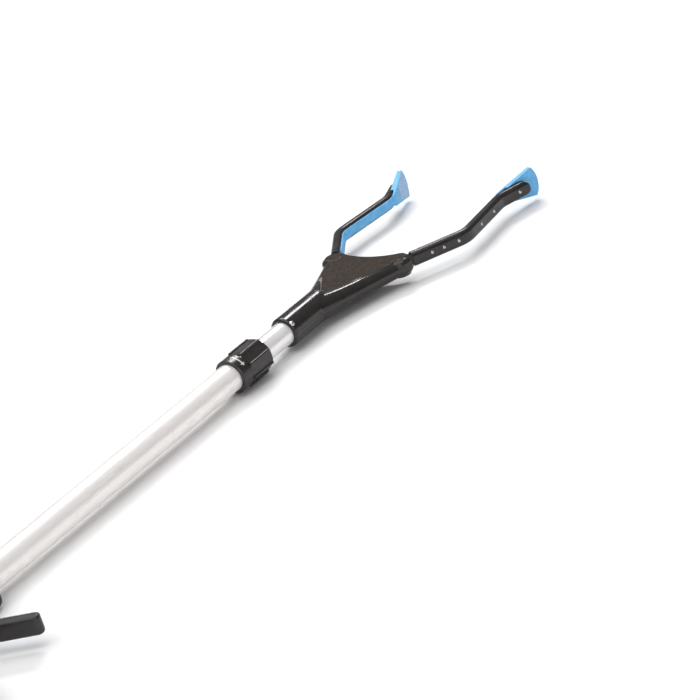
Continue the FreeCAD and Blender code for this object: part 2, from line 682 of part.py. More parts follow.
def make_crosshead():
    """Vee-shaped slider on the rod's end that carries one drive pin for each jaw."""
    hub = rod_x(4.2, 98.0, 112.0)
    corners = [
        (104.0, 4.0, 1.0), (124.0, 14.0, 8.0), (pin_x_open - 3.4, LINK_PIN_Y + 3.4, 2.6),
        (pin_x_open + 3.4, LINK_PIN_Y + 1.6, 2.6), (pin_x_open + 2.0, LINK_PIN_Y - 3.6, 2.0),
        (119.0, 0.0, 6.0),
        (pin_x_open + 2.0, 3.6 - LINK_PIN_Y, 2.0), (pin_x_open + 3.4, -LINK_PIN_Y - 1.6, 2.6),
        (pin_x_open - 3.4, -LINK_PIN_Y - 3.4, 2.6), (124.0, -14.0, 8.0), (104.0, -4.0, 1.0),
    ]
    plate = prism(rounded_outline(corners), -1.6, 1.6)
    body = fused([hub, plate]).cut(rod_x(ROD_R, 90.0, 108.0))
    for side in (1, -1):
        body = body.cut(rod_z(LINK_PIN_R, -5, 5, pin_x_open, side * LINK_PIN_Y))
    return body


def make_crosshead_pins():
    pins = [rod_z(LINK_PIN_R, -4.5, 4.5, pin_x_open, side * LINK_PIN_Y) for side in (1, -1)]
    return Part.makeCompound(pins)


def make_return_spring():
    """Coil between the rod guide and the crosshead that opens the jaws."""
    return coil_x(3.4, 0.5, INNER_TUBE_FRONT + 3.7, 97.3, 9)


def make_pull_tube():
    return tube_x(PULL_TUBE_R, PULL_TUBE_BORE, PULL_TUBE_REAR, PULL_TUBE_FRONT)


def make_clutch_housing():
    """Can on the pull tube's front end that holds the plate which grips the pull rod."""
    can = rod_x(CLUTCH_R, PULL_TUBE_FRONT - 6, CLUTCH_FRONT)
    chamber = rod_x(CLUTCH_R - 1.2, PULL_TUBE_FRONT + 1, CLUTCH_FRONT - 1.5)
    seat = rod_x(PULL_TUBE_R + FIT_GAP, PULL_TUBE_FRONT - 7, PULL_TUBE_FRONT)
    hole = rod_x(ROD_R + CLEAR, PULL_TUBE_FRONT - 1, CLUTCH_FRONT + 1)
    return can.cut(chamber).cut(seat).cut(hole)


def make_clutch_plate():
    """Tilting plate: pulled back it bites the pull rod, and when slack it lets the pole telescope."""
    plate = rod_x(CLUTCH_R - 1.7, -1.0, 1.0).cut(rod_x(ROD_R + CLEAR, -2, 2))
    plate.rotate(ORIGIN, Y_AXIS, 8)
    plate.translate(Vector(PULL_TUBE_FRONT + 4, 0, 0))
    return plate


def make_clutch_spring():
    return coil_x(3.0, 0.35, PULL_TUBE_FRONT + 6.6, CLUTCH_FRONT - 2.2, 5)


def make_rod_clevis():
    """Fork on the pull tube's rear end, with upright slots for the trigger's pin."""
    sleeve = rod_x(6.0, PULL_TUBE_REAR - 1, PULL_TUBE_REAR + 8)
    sleeve = sleeve.cut(rod_x(PULL_TUBE_R + FIT_GAP, PULL_TUBE_REAR, PULL_TUBE_REAR + 9))
    cheeks = []
    for side in (1, -1):
        inner, outer = sorted((side * 3.4, side * 5.6))
        corners = [
            (PULL_TUBE_REAR, 4.2, 0.8), (CLEVIS_PIN_X - 4.2, 4.2, 3.0),
            (CLEVIS_PIN_X - 4.2, -4.2, 3.0), (PULL_TUBE_REAR, -4.2, 0.8),
        ]
        cheek = prism(rounded_outline(corners), inner, outer)
        cheeks.append(cheek)
    body = fused([sleeve] + cheeks)
    half = LINK_PIN_R + SLOT_GAP
    drift = abs(CLEVIS_PIN_Y) + 0.25
    slot = block(CLEVIS_PIN_X - half, CLEVIS_PIN_X + half, -drift, drift, -8, 8)
    ends = [rod_z(half, -8, 8, CLEVIS_PIN_X, side * drift) for side in (1, -1)]
    return body.cut(fused([slot] + ends))


def make_clevis_pin():
    return rod_z(LINK_PIN_R, -6.0, 6.0, CLEVIS_PIN_X, CLEVIS_PIN_Y)


# --- handle and trigger --------------------------------------------------------------------
BARREL_OUTLINE = [
    (HANDLE_FRONT, 20.5, 3.0), (-505.0, 22.5, 60.0), (-567.0, 15.0, 9.0), (-570.0, -4.0, 8.0),
    (-548.0, -12.0, 16.0), (-512.0, -20.5, 10.0), (HANDLE_FRONT, -20.5, 3.0),
]
GRIP_OUTLINE = [
    (-512.0, 6.0, 6.0), (-545.0, 6.0, 6.0), (-551.0, -60.0, 70.0), (-567.0, -114.0, 9.0),
    (-531.0, -122.0, 9.0), (-516.0, -60.0, 70.0),
]


def handle_outside(depth=0.0):
    """Barrel and grip as one solid, moved inwards by depth."""
    barrel = rounded_prism(inset(BARREL_OUTLINE, depth), BARREL_HALF - depth, 8.0 - depth * 0.8)
    grip = rounded_prism(inset(GRIP_OUTLINE, depth), GRIP_HALF - depth, 9.0 - depth * 0.8)
    return fused([barrel, grip])


def trigger_slot():
    return block(-509.0, -468.0, -26.0, 0.0, -3.8, 3.8)


def palm_zone():
    """Region of the grip's back that carries the soft palm pad."""
    return block(-575.0, -543.5, -100.0, -26.0, -11.0, 11.0)


def make_handle():
    """Two handle shells: hollow, ribbed round the pole, with screw bosses and a trigger slot."""
    outside = handle_outside()
    hollow = handle_outside(WALL)
    body = outside.cut(hollow)
    inner_works = []
    for x in TUBE_RIBS:
        inner_works.append(block(x - 1.2, x + 1.2, -25, 25, -20, 20))
    for x, y in HANDLE_SCREWS:
        inner_works.append(rod_z(3.2, -20, 20, x, y))
    inner_works.append(rod_z(5.5, -20, -3.6, TRIGGER_X, TRIGGER_Y))
    inner_works.append(rod_z(5.5, 3.6, 20, TRIGGER_X, TRIGGER_Y))
    inner_works.append(rod_z(HANG_HOLE_R + 2.4, -20, 20, HANG_HOLE_X, HANG_HOLE_Y))
    for piece in inner_works:
        body = body.fuse(piece.common(outside))
    body = body.cut(rod_x(OUTER_TUBE_R + FIT_GAP, OUTER_TUBE_REAR, HANDLE_FRONT + 5))
    body = body.cut(trigger_slot())
    body = body.cut(rod_z(HANG_HOLE_R, -30, 30, HANG_HOLE_X, HANG_HOLE_Y))
    body = body.cut(rod_z(PIVOT_PIN_R, -15, 15, TRIGGER_X, TRIGGER_Y))
    pad = outside.common(palm_zone()).cut(handle_outside(WALL - 0.6))
    body = body.cut(palm_zone().common(outside).cut(handle_outside(WALL - 0.6)))
    for x, y in HANDLE_SCREWS:
        half = GRIP_HALF if y < -24 else BARREL_HALF
        body = body.cut(rod_z(1.3, -half - 1, half - 5, x, y))
        body = body.cut(rod_z(3.0, half - 5, half + 1, x, y))
    upper = body.common(block(-600, -400, -140, 60, 0, 40))
    lower = body.common(block(-600, -400, -140, 60, -40, 0))
    return upper, lower, pad


def make_handle_screws():
    screws = []
    for x, y in HANDLE_SCREWS:
        half = GRIP_HALF if y < -24 else BARREL_HALF
        head = rod_z(2.9, half - 4.9, half - 2.6, x, y)
        shank = rod_z(1.25, -half + 4, half - 4.9, x, y)
        cross = fused([
            block(x - 1.8, x + 1.8, y - 0.35, y + 0.35, half - 3.8, half),
            block(x - 0.35, x + 0.35, y - 1.8, y + 1.8, half - 3.8, half),
        ])
        screws.append(fused([head, shank]).cut(cross))
    return Part.makeCompound(screws)


def make_trigger_pin():
    return rod_z(PIVOT_PIN_R, -14.5, 14.5, TRIGGER_X, TRIGGER_Y)


LEVER_OUTLINE = [
    (-496.0, 12.0, 2.0), (-484.0, 12.0, 2.0), (-477.5, -26.0, 25.0), (-467.0, -62.0, 60.0),
    (-449.0, -98.0, 4.0), (-457.0, -106.0, 5.0), (-477.5, -66.0, 60.0), (-489.0, -26.0, 25.0),
]
PAD_ZONE = [
    (-470.0, -30.0), (-440.0, -30.0), (-440.0, -94.0), (-454.0, -94.0), (-472.0, -62.0), (-483.0, -30.0),
]


def make_trigger():
    """Lever with a thin neck inside the handle and a wide finger bow outside it."""
    neck = prism(rounded_outline(LEVER_OUTLINE), -3.0, 3.0)
    bow = rounded_prism(LEVER_OUTLINE, 8.0, 2.6).common(block(-520, -430, -120, -30, -10, 10))
    hub = rod_z(6.0, -3.2, 3.2, TRIGGER_X, TRIGGER_Y)
    body = fused([neck, bow, hub])
    body = body.cut(rod_z(PIVOT_PIN_R + RUNNING_GAP, -10, 10, TRIGGER_X, TRIGGER_Y))
    body = body.cut(rod_z(LINK_PIN_R, -10, 10, CLEVIS_PIN_X, CLEVIS_PIN_Y))
    return body


def make_trigger_pad():
    """Soft finger pad on the front of the trigger's bow."""
    skin = prism(rounded_outline(inset(LEVER_OUTLINE, -1.8)), -6.2, 6.2)
    core = prism(rounded_outline(LEVER_OUTLINE), -9, 9)
    return skin.cut(core).common(polygon(PAD_ZONE, -6.2, 6.2))


# --- assembly --------------------------------------------------------------------------------
def build():
    upper_head, lower_head = make_head_shells()
    upper_handle, lower_handle, palm_pad = make_handle()
    jaw_arm = make_jaw_arm()
    jaw_liner = make_jaw_liner()
    liner_studs = make_liner_studs()
    return {
        "outer_tube": make_outer_tube(),
        "lock_base": make_lock_base(),
        "guide_key": make_guide_key(),
        "split_collet": make_split_collet(),
        "handle_shell_right": upper_handle,
        "handle_shell_left": lower_handle,
        "handle_screws": make_handle_screws(),
        "palm_pad": palm_pad,
        "trigger_pin": make_trigger_pin(),
        "twist_nut": make_twist_nut(),
        "inner_tube": make_inner_tube(),
        "tube_end_bush": make_tube_end_bush(),
        "head_shell_upper": upper_head,
        "head_shell_lower": lower_head,
        "head_rivets": make_head_rivets(),
        "head_screws": make_head_screws(),
        "rod_guide": make_rod_guide(),
        "pivot_pin_left": make_pivot_pin(),
        "pivot_pin_right": mirrored(make_pivot_pin()),
        "return_spring": make_return_spring(),
        "jaw_arm_left": jaw_arm,
        "jaw_arm_right": mirrored(jaw_arm),
        "jaw_liner_left": jaw_liner,
        "jaw_liner_right": mirrored(jaw_liner),
        "liner_studs_left": liner_studs,
        "liner_studs_right": mirrored(liner_studs),
        "pull_rod": make_pull_rod(),
        "crosshead": make_crosshead(),
        "crosshead_pins": make_crosshead_pins(),
        "pull_tube": make_pull_tube(),
        "clutch_housing": make_clutch_housing(),
        "clutch_plate": make_clutch_plate(),
        "clutch_spring": make_clutch_spring(),
        "rod_clevis": make_rod_clevis(),
        "trigger": make_trigger(),
        "trigger_pad": make_trigger_pad(),
        "clevis_pin": make_clevis_pin(),
    }


def save_all():
    """Moves the model so that the middle of its base is the origin, and writes every node."""
    nodes = build()
    box = FreeCAD.BoundBox()
    for shape in nodes.values():
        box.add(shape.optimalBoundingBox(False))
    shift = Vector(-box.Center.x, -box.Center.y, -box.ZMin)
    os.makedirs("parts", exist_ok=True)
    for name, shape in nodes.items():
        shape.translate(shift)
        shape.exportStep("parts/%s.step" % name)
        print(name, "solids", len(shape.Solids), "volume", round(shape.Volume, 1), "valid", shape.isValid())
    print("shift", round(shift.x, 4), round(shift.y, 4), round(shift.z, 4))
    print("size", round(box.XLength, 2), round(box.YLength, 2), round(box.ZLength, 2))
    print("pull stroke", round(PULL_STROKE, 4), "trigger pivot y", round(TRIGGER_Y, 4))
    print("clevis pin", round(CLEVIS_PIN_X, 4), round(CLEVIS_PIN_Y, 4))


save_all()
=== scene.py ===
import json
import math

import bmesh
import bpy
import numpy as np
from mathutils import Matrix, Vector


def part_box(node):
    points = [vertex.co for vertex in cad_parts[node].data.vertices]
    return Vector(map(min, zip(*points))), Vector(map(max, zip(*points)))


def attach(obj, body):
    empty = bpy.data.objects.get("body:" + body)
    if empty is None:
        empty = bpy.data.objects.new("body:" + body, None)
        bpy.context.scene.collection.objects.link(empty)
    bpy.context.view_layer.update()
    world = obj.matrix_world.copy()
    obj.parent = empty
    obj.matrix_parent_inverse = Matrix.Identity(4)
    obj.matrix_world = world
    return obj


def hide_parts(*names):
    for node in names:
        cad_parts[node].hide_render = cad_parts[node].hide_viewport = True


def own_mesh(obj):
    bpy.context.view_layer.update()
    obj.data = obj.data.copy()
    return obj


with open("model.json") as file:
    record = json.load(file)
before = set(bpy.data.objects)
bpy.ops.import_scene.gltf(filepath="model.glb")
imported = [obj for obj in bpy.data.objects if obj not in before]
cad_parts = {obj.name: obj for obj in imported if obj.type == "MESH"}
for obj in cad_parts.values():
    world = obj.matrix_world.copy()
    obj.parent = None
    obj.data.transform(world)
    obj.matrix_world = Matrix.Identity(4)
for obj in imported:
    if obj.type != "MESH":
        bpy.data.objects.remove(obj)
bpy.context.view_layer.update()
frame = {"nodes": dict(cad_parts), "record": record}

NODES = frame["nodes"]
MM = 0.001

# Other places are measured from the pole's axis and from the rear mouth of the head's socket.
tube_low, tube_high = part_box("inner_tube")
AXIS_Y = (tube_low.y + tube_high.y) / 2
AXIS_Z = (tube_low.z + tube_high.z) / 2
MOUTH_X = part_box("head_shell_lower")[0].x
MOUTH = Vector((MOUTH_X, AXIS_Y, AXIS_Z))


# --- camera, light and floor ------------------------------------------------------------------
VIEW_AZIMUTH = math.radians(-48.14)
VIEW_ELEVATION = math.radians(22.57)
VIEW_ROLL = math.radians(17.5)
VIEW_DISTANCE = 2.385
LENS = 138.7
SENSOR_WIDTH = 36.0
NEAREST = 0.05
FURTHEST = 60.0
AIM = MOUTH + Vector((24.7, -47.5, -28.4)) * MM

# Place from the aim point, width and height in metres, power in watts and colour of each light.
LIGHTS = {
    "overhead": ((-0.5, 0.3, 2.4), (3.4, 3.4), 56.0, (1.0, 0.995, 0.985)),
    "ridge": ((1.2694, 0.8668, 1.5752), (1.1, 0.3), 23.0, (1.0, 1.0, 1.0)),
    "front_fill": ((-1.7, -1.5, 0.9), (1.2, 1.2), 10.0, (1.0, 0.98, 0.96)),
}
WORLD_LOW = (0.30, 0.27, 0.26, 1)
WORLD_HIGH = (0.62, 0.63, 0.66, 1)
WORLD_HIGH_FROM = 0.8
WORLD_STRENGTH = 0.55
FLOOR_HALF = 12.0
FLOOR_DROP = 0.4 * MM


def view_axes():
    """Right, up and back directions of the camera."""
    flat = math.cos(VIEW_ELEVATION)
    back = Vector((
        math.sin(VIEW_AZIMUTH) * flat,
        -math.cos(VIEW_AZIMUTH) * flat,
        math.sin(VIEW_ELEVATION),
    ))
    level = Vector((math.cos(VIEW_AZIMUTH), math.sin(VIEW_AZIMUTH), 0.0))
    upright = back.cross(level)
    right = level * math.cos(VIEW_ROLL) - upright * math.sin(VIEW_ROLL)
    up = upright * math.cos(VIEW_ROLL) + level * math.sin(VIEW_ROLL)
    return right, up, back


def make_camera():
    """Long lens that looks down on the head from behind and from its right, rolled a little."""
    data = bpy.data.cameras.new("camera")
    data.lens = LENS
    data.sensor_width = SENSOR_WIDTH
    data.clip_start = NEAREST
    data.clip_end = FURTHEST
    camera = bpy.data.objects.new("camera", data)
    bpy.context.scene.collection.objects.link(camera)
    right, up, back = view_axes()
    turn = Matrix((right, up, back)).transposed().to_4x4()
    camera.matrix_world = Matrix.Translation(AIM + back * VIEW_DISTANCE) @ turn
    bpy.context.scene.camera = camera


def make_area_light(name, away, size, power, colour):
    """Rectangular light that faces the aim point from the given offset."""
    data = bpy.data.lights.new(name, "AREA")
    data.shape = "RECTANGLE"
    data.size, data.size_y = size
    data.energy = power
    data.color = colour
    light = bpy.data.objects.new(name, data)
    bpy.context.scene.collection.objects.link(light)
    light.location = AIM + Vector(away)
    light.rotation_euler = (-Vector(away)).to_track_quat("-Z", "Y").to_euler()


def make_world():
    """Pale surroundings: bright overhead and a little darker towards the horizon."""
    world = bpy.data.worlds.new("studio")
    bpy.context.scene.world = world
    world.use_nodes = True
    nodes = world.node_tree.nodes
    links = world.node_tree.links
    background = nodes["Background"]
    place = nodes.new("ShaderNodeTexCoord")
    split = nodes.new("ShaderNodeSeparateXYZ")
    ramp = nodes.new("ShaderNodeValToRGB")
    horizon, top = ramp.color_ramp.elements
    horizon.color = WORLD_LOW
    top.color = WORLD_HIGH
    top.position = WORLD_HIGH_FROM
    links.new(place.outputs["Generated"], split.inputs[0])
    links.new(split.outputs["Z"], ramp.inputs["Fac"])
    links.new(ramp.outputs["Color"], background.inputs["Color"])
    background.inputs["Strength"].default_value = WORLD_STRENGTH


def make_floor():
    """Wide pale sheet just under the object."""
    mesh = bpy.data.meshes.new("floor")
    half = FLOOR_HALF
    corners = [(-half, -half, 0), (half, -half, 0), (half, half, 0), (-half, half, 0)]
    mesh.from_pydata(corners, [], [(0, 1, 2, 3)])
    floor = bpy.data.objects.new("floor", mesh)
    floor.location.z = -FLOOR_DROP
    bpy.context.scene.collection.objects.link(floor)
    paper = mottled(
        "floor_paper", (0.90, 0.90, 0.90), (0.93, 0.93, 0.93),
        rough_low=0.85, rough_high=0.9, size_mm=8.0,
    )
    floor.data.materials.append(paper)


# --- materials ----------------------------------------------------------------------------------
def new_material(name):
    """Empty node material with its principled shader."""
    material = bpy.data.materials.new(name)
    material.use_nodes = True
    tree = material.node_tree
    return material, tree, tree.nodes["Principled BSDF"]


def noise(tree, size_mm, detail=3.0, stretch=(1.0, 1.0, 1.0)):
    """Noise whose grain is about size_mm across, stretched by a factor along each axis."""
    place = tree.nodes.new("ShaderNodeTexCoord")
    mapping = tree.nodes.new("ShaderNodeMapping")
    texture = tree.nodes.new("ShaderNodeTexNoise")
    scale = 1.0 / (size_mm * MM)
    mapping.inputs["Scale"].default_value = [scale / factor for factor in stretch]
    texture.inputs["Scale"].default_value = 1.0
    texture.inputs["Detail"].default_value = detail
    tree.links.new(place.outputs["Object"], mapping.inputs["Vector"])
    tree.links.new(mapping.outputs["Vector"], texture.inputs["Vector"])
    return texture.outputs["Fac"]


def cells(tree, size_mm):
    """Distance to the middle of each cell, in a pattern whose cells are about size_mm across."""
    place = tree.nodes.new("ShaderNodeTexCoord")
    texture = tree.nodes.new("ShaderNodeTexVoronoi")
    texture.inputs["Scale"].default_value = 1.0 / (size_mm * MM)
    tree.links.new(place.outputs["Object"], texture.inputs["Vector"])
    return texture.outputs["Distance"]


def feed(tree, socket, value):
    """Gives a socket a plain number, or a colour without alpha, or another node's output."""
    if isinstance(value, (int, float)):
        socket.default_value = value
    elif isinstance(value, tuple):
        socket.default_value = (*value, 1.0)
    else:
        tree.links.new(value, socket)


def math_node(tree, operation, *values):
    """Result of one arithmetic step on numbers or other nodes' outputs."""
    node = tree.nodes.new("ShaderNodeMath")
    node.operation = operation
    for socket, value in zip(node.inputs, values):
        feed(tree, socket, value)
    return node.outputs[0]


def product(tree, first, *others):
    """All the values multiplied together."""
    result = first
    for value in others:
        result = math_node(tree, "MULTIPLY", result, value)
    return result


def total(tree, first, second):
    """Sum of two values."""
    return math_node(tree, "ADD", first, second)


def spread(tree, value, low, high, start=0.3, end=0.7):
    """Value between start and end turned into a number between low and high."""
    node = tree.nodes.new("ShaderNodeMapRange")
    node.inputs["From Min"].default_value = start
    node.inputs["From Max"].default_value = end
    node.inputs["To Min"].default_value = low
    node.inputs["To Max"].default_value = high
    tree.links.new(value, node.inputs["Value"])
    return node.outputs["Result"]


# A mix node has its own pair of inputs, and its own output, for numbers and for colours.
MIX_FACTOR = 0
NUMBER_INPUTS, NUMBER_OUTPUT = (2, 3), 0
COLOUR_INPUTS, COLOUR_OUTPUT = (6, 7), 2


def blend_colours(tree, amount, first, second):
    """Mix of two colours, each an (r, g, b) or another node's output."""
    node = tree.nodes.new("ShaderNodeMix")
    node.data_type = "RGBA"
    tree.links.new(amount, node.inputs[MIX_FACTOR])
    for place, colour in zip(COLOUR_INPUTS, (first, second)):
        feed(tree, node.inputs[place], colour)
    return node.outputs[COLOUR_OUTPUT]


def blend_values(tree, amount, first, second):
    """Mix of two values, each a number or another node's output."""
    node = tree.nodes.new("ShaderNodeMix")
    node.data_type = "FLOAT"
    tree.links.new(amount, node.inputs[MIX_FACTOR])
    for place, value in zip(NUMBER_INPUTS, (first, second)):
        feed(tree, node.inputs[place], value)
    return node.outputs[NUMBER_OUTPUT]


def bump(tree, shader, height, depth_mm, strength=1.0):
    """Makes a height look like relief of up to depth_mm on the shader's surface."""
    node = tree.nodes.new("ShaderNodeBump")
    node.inputs["Strength"].default_value = strength
    node.inputs["Distance"].default_value = depth_mm * MM
    tree.links.new(height, node.inputs["Height"])
    tree.links.new(node.outputs["Normal"], shader.inputs["Normal"])


def separate(tree, output):
    """X, Y and Z of the piece's own coordinates or normals."""
    place = tree.nodes.new("ShaderNodeTexCoord")
    split = tree.nodes.new("ShaderNodeSeparateXYZ")
    tree.links.new(place.outputs[output], split.inputs[0])
    return split.outputs


def measured_mm(tree, value, start):
    """Distance of a coordinate beyond a starting value, in millimetres."""
    return product(tree, math_node(tree, "SUBTRACT", value, start), 1.0 / MM)


def levelness(tree):
    """Size of the normal's upward part, 1 on faces that lie flat."""
    return math_node(tree, "ABSOLUTE", separate(tree, "Normal")["Z"])


def facing_axis(tree, place, limit):
    """1 where the surface leans towards the pole's axis seen from above, by more than a limit."""
    side = math_node(tree, "SIGN", math_node(tree, "SUBTRACT", place["Y"], AXIS_Y))
    outward = product(tree, side, separate(tree, "Normal")["Y"])
    return math_node(tree, "LESS_THAN", outward, -limit)


def within(tree, value, low, high):
    """1 between two values and 0 outside them."""
    above = math_node(tree, "GREATER_THAN", value, low)
    below = math_node(tree, "LESS_THAN", value, high)
    return product(tree, above, below)


def mottled(name, dark, light, rough_low, rough_high, size_mm, depth_mm=0.0):
    """Matt material whose colour and roughness vary softly."""
    material, tree, shader = new_material(name)
    patches = noise(tree, size_mm)
    tree.links.new(blend_colours(tree, patches, dark, light), shader.inputs["Base Color"])
    tree.links.new(spread(tree, patches, rough_low, rough_high), shader.inputs["Roughness"])
    if depth_mm:
        bump(tree, shader, patches, depth_mm)
    return material


def tube_metal(name, dark, light, rough_low, rough_high, metallic):
    """Drawn tube: fine streaks along its length, soft smudges across."""
    material, tree, shader = new_material(name)
    streaks = noise(tree, size_mm=0.22, detail=4.0, stretch=(140.0, 1.0, 1.0))
    smudges = noise(tree, size_mm=14.0, detail=3.0, stretch=(3.0, 1.0, 1.0))
    colour = blend_colours(tree, spread(tree, streaks, low=0.0, high=1.0), dark, light)
    colour = blend_colours(tree, spread(tree, smudges, low=0.0, high=0.2), colour, dark)
    tree.links.new(colour, shader.inputs["Base Color"])
    shader.inputs["Metallic"].default_value = metallic
    rough = total(
        tree, spread(tree, smudges, rough_low, rough_high), spread(tree, streaks, low=-0.03, high=0.03)
    )
    tree.links.new(rough, shader.inputs["Roughness"])
    bump(tree, shader, streaks, depth_mm=0.008, strength=0.5)
    return material


RUBBED_FACTOR = 1.9
RUBBED_LIFT = 0.006


def black_plastic(name, colour, rough_low, rough_high, grain_mm, grain_depth_mm):
    """Moulded black plastic: fine spark grain, slight flow marks, paler rubbed patches."""
    material, tree, shader = new_material(name)
    grain = noise(tree, grain_mm, detail=2.0)
    flow = noise(tree, size_mm=9.0, detail=4.0, stretch=(2.5, 1.0, 1.0))
    paler = tuple(channel * RUBBED_FACTOR + RUBBED_LIFT for channel in colour)
    rubbed = spread(tree, flow, low=0.0, high=0.6)
    tree.links.new(blend_colours(tree, rubbed, colour, paler), shader.inputs["Base Color"])
    rough = total(
        tree, spread(tree, flow, rough_low, rough_high), spread(tree, grain, low=-0.05, high=0.05)
    )
    tree.links.new(rough, shader.inputs["Roughness"])
    bump(tree, shader, grain, grain_depth_mm, strength=0.8)
    return material


# Heights above or below the pole's axis, and distances ahead of the head's rear mouth.
PANEL_HALF_MM = 7.0
EAR_TOP_MM = 8.3
PANEL_START_MM = 72.0
CREASE_START_MM = 52.0
PANEL_BELOW_MM = 0.05
CREASE_FROM_MM, CREASE_TO_MM = 0.03, 0.34
FINE_HEIGHT = 0.06
LEVEL_NORMAL = 0.985
PANEL_ROUGHNESS = 0.97
BLACK = (0.011, 0.009, 0.009)
RUBBED_BLACK = (0.030, 0.024, 0.023)
PANEL_BROWN = (0.056, 0.036, 0.025)
# Near-black colour painted as shade in the stipple pits of the panels.
PANEL_PIT_SHADE = (0.004, 0.003, 0.002)
PANEL_CLOUD = (0.012, 0.008, 0.007)
PANEL_FLECK = (0.062, 0.040, 0.028)
# Pale colour of the highlight painted along the crease where the panel meets the socket and flanks.
PAINTED_EDGE_HIGHLIGHT = (0.30, 0.27, 0.26)


def panel_mask(tree, half_mm, forward_mm):
    """1 on the head's two flat panels and on the tops of its ears."""
    on_panel = within(tree, half_mm, PANEL_HALF_MM - PANEL_BELOW_MM, EAR_TOP_MM)
    flat = math_node(tree, "GREATER_THAN", levelness(tree), LEVEL_NORMAL)
    ahead = math_node(tree, "GREATER_THAN", forward_mm, PANEL_START_MM)
    return product(tree, on_panel, flat, ahead)


def crease_highlight_mask(tree, place, half_mm, forward_mm):
    """1 on the narrow edge where the panel meets the socket and the flanks, where a highlight is
    painted.
    """
    at_crease = within(tree, half_mm, PANEL_HALF_MM + CREASE_FROM_MM, PANEL_HALF_MM + CREASE_TO_MM)
    beyond = math_node(tree, "GREATER_THAN", forward_mm, CREASE_START_MM)
    return product(tree, at_crease, beyond, facing_axis(tree, place, limit=-0.12))


def head_plastic():
    """Glossy black head whose two flat panels are stippled and brown-black, with painted shade in the
    stipple pits, a painted highlight along the panel's crease and a parting line.
    """
    material, tree, shader = new_material("head_plastic")
    place = separate(tree, "Object")
    half_mm = math_node(tree, "ABSOLUTE", measured_mm(tree, place["Z"], AXIS_Z))
    forward_mm = measured_mm(tree, place["X"], MOUTH_X)
    panel = panel_mask(tree, half_mm, forward_mm)
    stipple = cells(tree, size_mm=1.5)
    fine = noise(tree, size_mm=0.6, detail=3.0)
    clouds = noise(tree, size_mm=4.5, detail=3.0)
    flow = noise(tree, size_mm=11.0, detail=4.0)
    # Painted shade: the panel's stipple darkened towards near black in its pits.
    shaded_pits = spread(tree, stipple, low=0.0, high=1.0, start=0.25, end=0.75)
    dim = spread(tree, clouds, low=0.0, high=0.85, start=0.45, end=0.60)
    brown = blend_colours(tree, shaded_pits, PANEL_BROWN, PANEL_PIT_SHADE)
    brown = blend_colours(tree, dim, brown, PANEL_CLOUD)
    brown = blend_colours(tree, spread(tree, fine, low=0.0, high=0.45), brown, PANEL_FLECK)
    colour = blend_colours(tree, panel, blend_colours(tree, flow, BLACK, RUBBED_BLACK), brown)
    # Painted highlight: a pale, broken line along the crease where the panel meets the socket and the
    # flanks.
    crease = crease_highlight_mask(tree, place, half_mm, forward_mm)
    painted_highlight = product(tree, crease, spread(tree, clouds, low=0.35, high=1.0))
    colour = blend_colours(tree, painted_highlight, colour, PAINTED_EDGE_HIGHLIGHT)
    tree.links.new(colour, shader.inputs["Base Color"])
    gloss = spread(tree, flow, low=0.13, high=0.22)
    tree.links.new(blend_values(tree, panel, gloss, PANEL_ROUGHNESS), shader.inputs["Roughness"])
    seam = spread(tree, half_mm, low=0.0, high=1.0, start=0.05, end=0.22)
    grain = total(tree, product(tree, fine, FINE_HEIGHT), seam)
    bump(tree, shader, total(tree, product(tree, panel, stipple), grain), depth_mm=0.16, strength=0.8)
    return material


HANDLE_BLACK = (0.014, 0.012, 0.012)
HANDLE_RUBBED = (0.034, 0.031, 0.030)
# Near-black colour painted as shade in the valleys of the grip's pebbled grain.
HANDLE_VALLEY_SHADE = (0.004, 0.004, 0.004)
GRIP_INSET = 2 * MM
GRIP_REACH = 30 * MM
GRAIN_HEIGHT = 0.25
GRIP_PEBBLE_HEIGHT = -1.1


def grip_mask(tree):
    """1 on the two flat sides of the handle's grip."""
    grip_low, grip_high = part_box("palm_pad")
    place = separate(tree, "Object")
    flat = spread(tree, levelness(tree), low=0.0, high=1.0, start=0.96, end=0.99)
    down = within(tree, place["Y"], grip_low.y + GRIP_INSET, grip_high.y - GRIP_INSET)
    back = math_node(tree, "LESS_THAN", place["X"], grip_high.x + GRIP_REACH)
    return product(tree, flat, down, back)


def handle_plastic():
    """Matt black plastic of the handle, with a coarse pebbled grain on the two sides of its grip and
    painted shade in the valleys between its pebbles.
    """
    material, tree, shader = new_material("handle_plastic")
    grip = grip_mask(tree)
    pebbles = cells(tree, size_mm=1.4)
    grain = noise(tree, size_mm=0.5, detail=2.0)
    flow = noise(tree, size_mm=9.0, detail=4.0, stretch=(2.5, 1.0, 1.0))
    colour = blend_colours(tree, spread(tree, flow, low=0.0, high=0.6), HANDLE_BLACK, HANDLE_RUBBED)
    # Painted shade: the valleys between the grip's pebbles darkened.
    shaded_valleys = product(tree, grip, spread(tree, pebbles, low=0.0, high=0.85, start=0.3, end=0.7))
    colour = blend_colours(tree, shaded_valleys, colour, HANDLE_VALLEY_SHADE)
    tree.links.new(colour, shader.inputs["Base Color"])
    rough = total(
        tree, spread(tree, flow, low=0.38, high=0.50), spread(tree, grain, low=-0.05, high=0.05)
    )
    tree.links.new(rough, shader.inputs["Roughness"])
    height = total(
        tree, product(tree, grain, GRAIN_HEIGHT), product(tree, grip, pebbles, GRIP_PEBBLE_HEIGHT)
    )
    bump(tree, shader, height, depth_mm=0.14, strength=0.9)
    return material


FINE_SKIN_HEIGHT = 0.3


